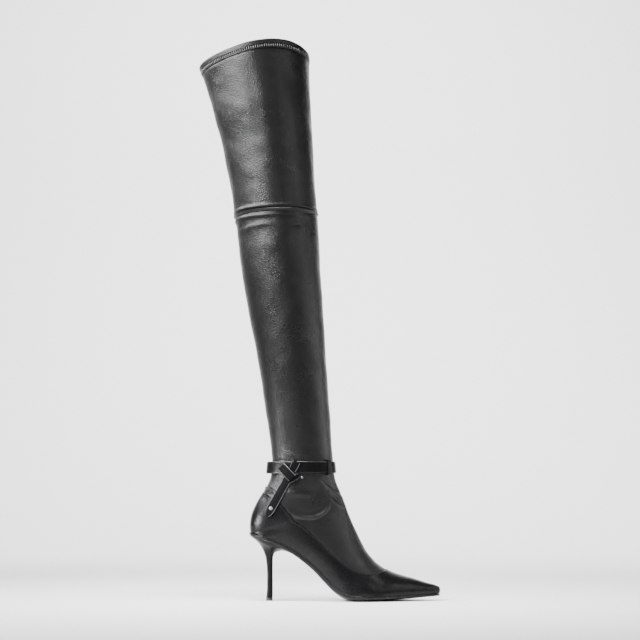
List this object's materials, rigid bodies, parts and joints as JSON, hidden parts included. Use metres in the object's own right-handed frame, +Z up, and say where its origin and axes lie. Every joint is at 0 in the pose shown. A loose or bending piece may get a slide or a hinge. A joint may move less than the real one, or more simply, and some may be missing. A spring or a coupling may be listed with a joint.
{
  "type": "thigh high boot",
  "caption": "Black thigh high stiletto boot with a pointed toe, knee seam, folded collar band and a knotted ankle strap.",
  "frame": {"origin": "on the floor under the middle of the heel's tip", "axes": "+X towards the toe, +Y towards the inner side of the leg, +Z up"},
  "size_m": [0.3277, 0.1344, 0.7526],
  "materials": {
    "foot_leather": "smooth black leather with a soft gloss",
    "shaft_leather": "fine grained black stretch leather, semi-matte",
    "thigh_leather": "fine grained black stretch leather, semi-matte",
    "band_leather": "folded black leather with a stitched edge",
    "insole_board": "dark lined insole",
    "sole_leather": "black finished sole with a polished edge",
    "heel_cover": "heel covered in black leather",
    "heel_rubber": "hard black top piece",
    "strap_leather": "glossy black strap",
    "stud_metal": "dark plain metal"
  },
  "bodies": {
    "root": {"upper": "foot_leather", "shaft": "shaft_leather", "thigh_shaft": "thigh_leather", "collar_band": "band_leather", "insole": "insole_board", "outsole": "sole_leather", "heel": "heel_cover", "heel_tip": "heel_rubber", "ankle_strap": "strap_leather", "strap_keeper": "strap_leather", "strap_tail": "strap_leather", "knot_fold": "strap_leather", "knot_loop": "strap_leather", "knot_end": "strap_leather", "tail_stud": "stud_metal", "knot_stud": "stud_metal"}
  },
  "joints": []
}
